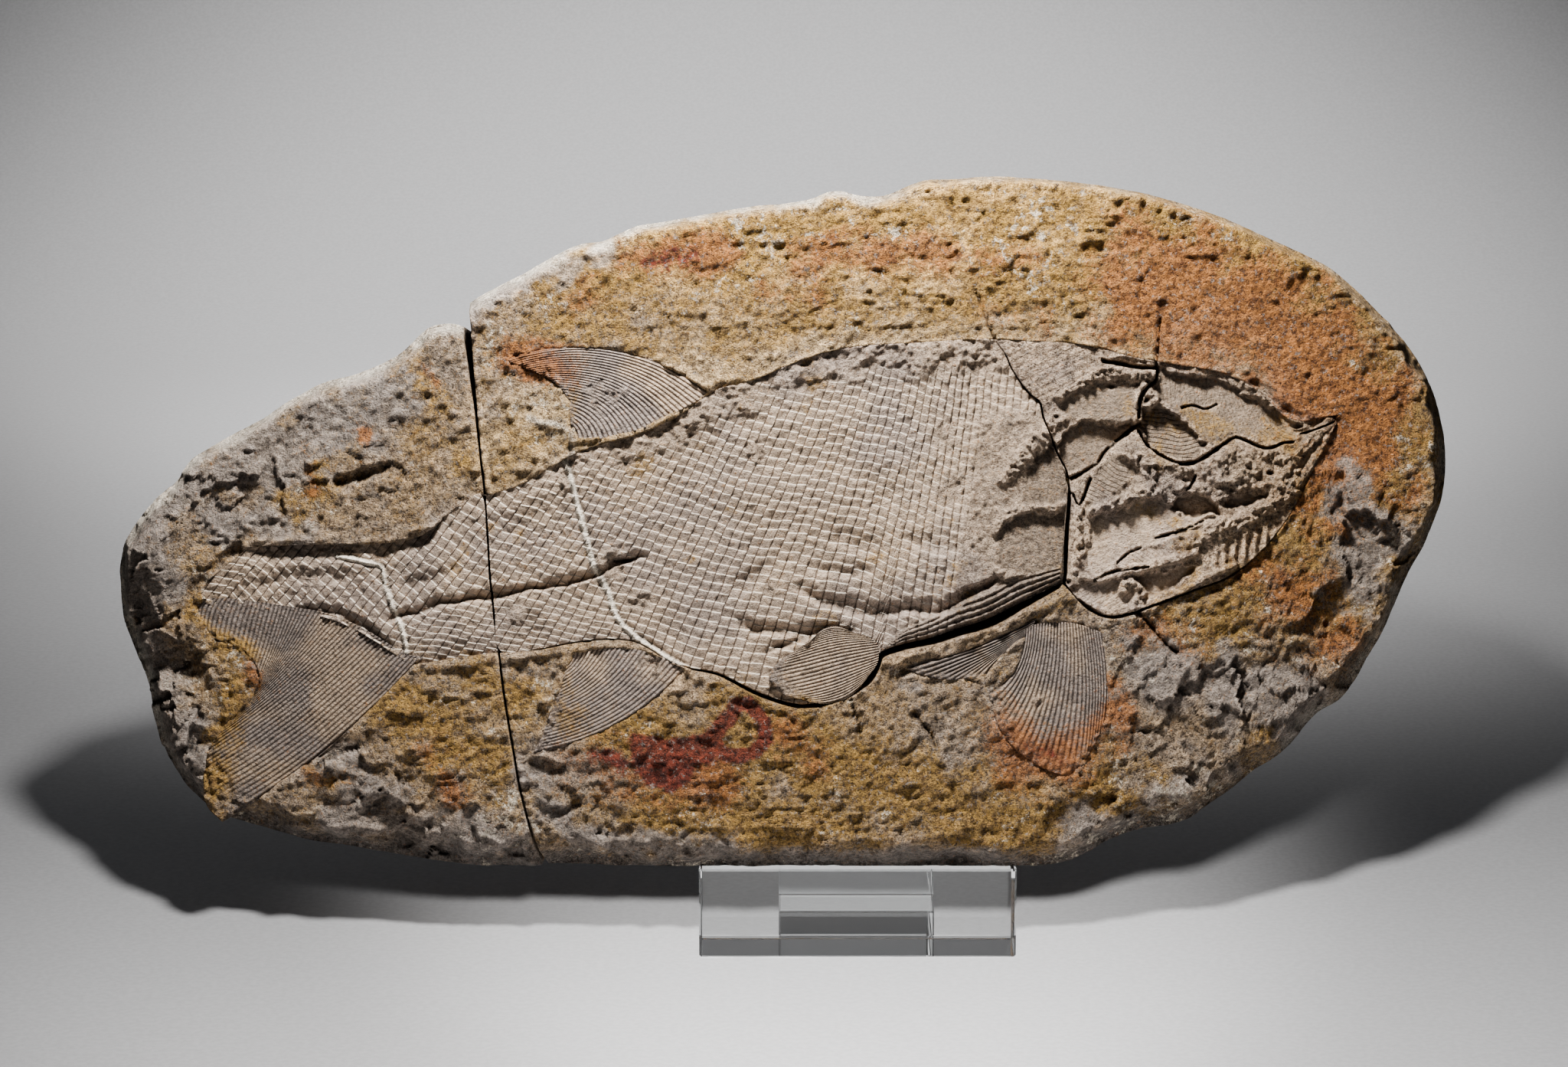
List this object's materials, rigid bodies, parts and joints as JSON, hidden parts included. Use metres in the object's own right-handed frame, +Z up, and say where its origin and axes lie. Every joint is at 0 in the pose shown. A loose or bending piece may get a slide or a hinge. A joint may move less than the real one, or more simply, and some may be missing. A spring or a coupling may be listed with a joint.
{
  "type": "fossil fish",
  "caption": "Fish fossil in shallow relief on a split stone nodule that is broken in two, leaning back on a small clear display rest.",
  "frame": {"origin": "centre of the front bar's underside, on the surface that the object stands on", "axes": "+Z up; -Y the way the fish's face looks, leaning back by 12 degrees; +X towards the fish's snout"},
  "size_m": [0.2923, 0.0881, 0.1683],
  "materials": {
    "weathered_stone": "dry, rough, matte",
    "clear_acrylic": "clear, polished, lightly scratched"
  },
  "bodies": {
    "root": {"tail_block": "weathered_stone", "main_block": "weathered_stone", "rest_bar": "clear_acrylic", "rest_foot": "clear_acrylic", "rest_back": "clear_acrylic"}
  },
  "joints": []
}
